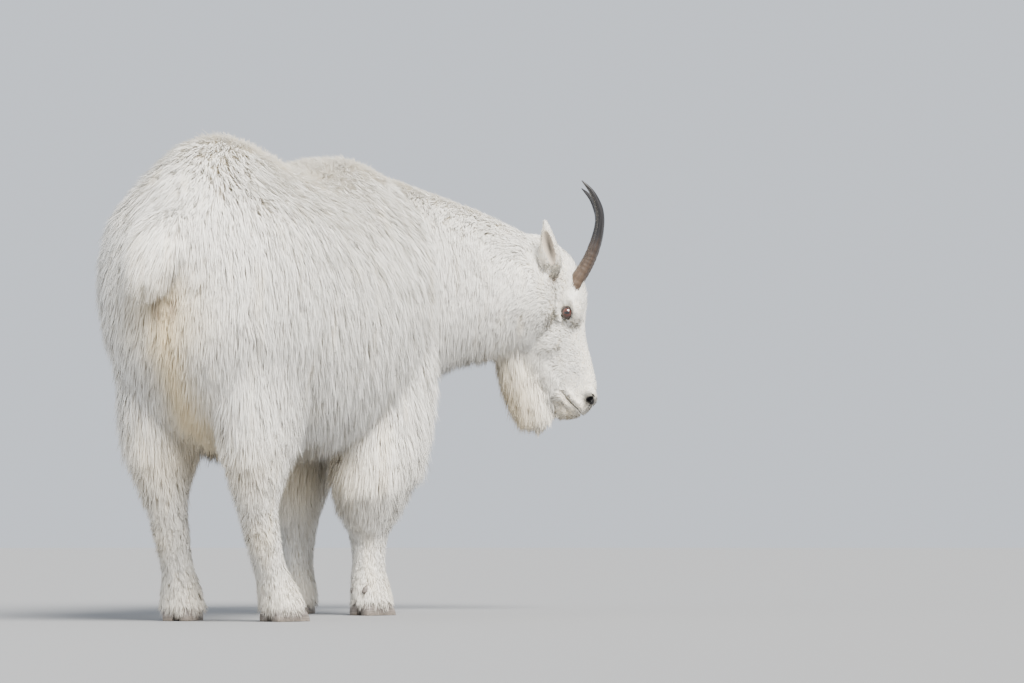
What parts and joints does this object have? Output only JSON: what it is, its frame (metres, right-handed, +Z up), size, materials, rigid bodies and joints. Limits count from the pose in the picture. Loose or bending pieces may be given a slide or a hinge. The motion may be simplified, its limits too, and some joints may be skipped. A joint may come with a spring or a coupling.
{
  "type": "mountain goat figure",
  "caption": "Standing long-haired white mountain goat with short curved black horns, a beard and cloven hooves, its neck bent and head held low to its right.",
  "frame": {"origin": "on the floor, under the middle of the box round the whole animal", "axes": "+Z up, the body faces -Y, its right side is -X and its left side is +X"},
  "size_m": [0.6626, 1.2943, 0.8986],
  "materials": {
    "coat": "long white hair, dull",
    "eye": "wet dark brown",
    "hoof": "dull horn",
    "horn": "smooth black horn, ringed at the base"
  },
  "bodies": {
    "root": {"claw_fore_left_a": "hoof", "claw_fore_left_b": "hoof", "claw_fore_right_a": "hoof", "claw_fore_right_b": "hoof", "claw_hind_left_a": "hoof", "claw_hind_left_b": "hoof", "claw_hind_right_a": "hoof", "claw_hind_right_b": "hoof", "dewclaw_fore_left_a": "hoof", "dewclaw_fore_left_b": "hoof", "dewclaw_fore_right_a": "hoof", "dewclaw_fore_right_b": "hoof", "dewclaw_hind_left_a": "hoof", "dewclaw_hind_left_b": "hoof", "dewclaw_hind_right_a": "hoof", "dewclaw_hind_right_b": "hoof", "ear_left": "coat", "ear_right": "coat", "eye_left": "eye", "eye_right": "eye", "fore_shank_left": "coat", "fore_shank_right": "coat", "forearm_left": "coat", "forearm_right": "coat", "head": "coat", "hind_shank_left": "coat", "hind_shank_right": "coat", "horn_left": "horn", "horn_right": "horn", "neck": "coat", "tail": "coat", "thigh_left": "coat", "thigh_right": "coat", "torso": "coat"}
  },
  "joints": []
}
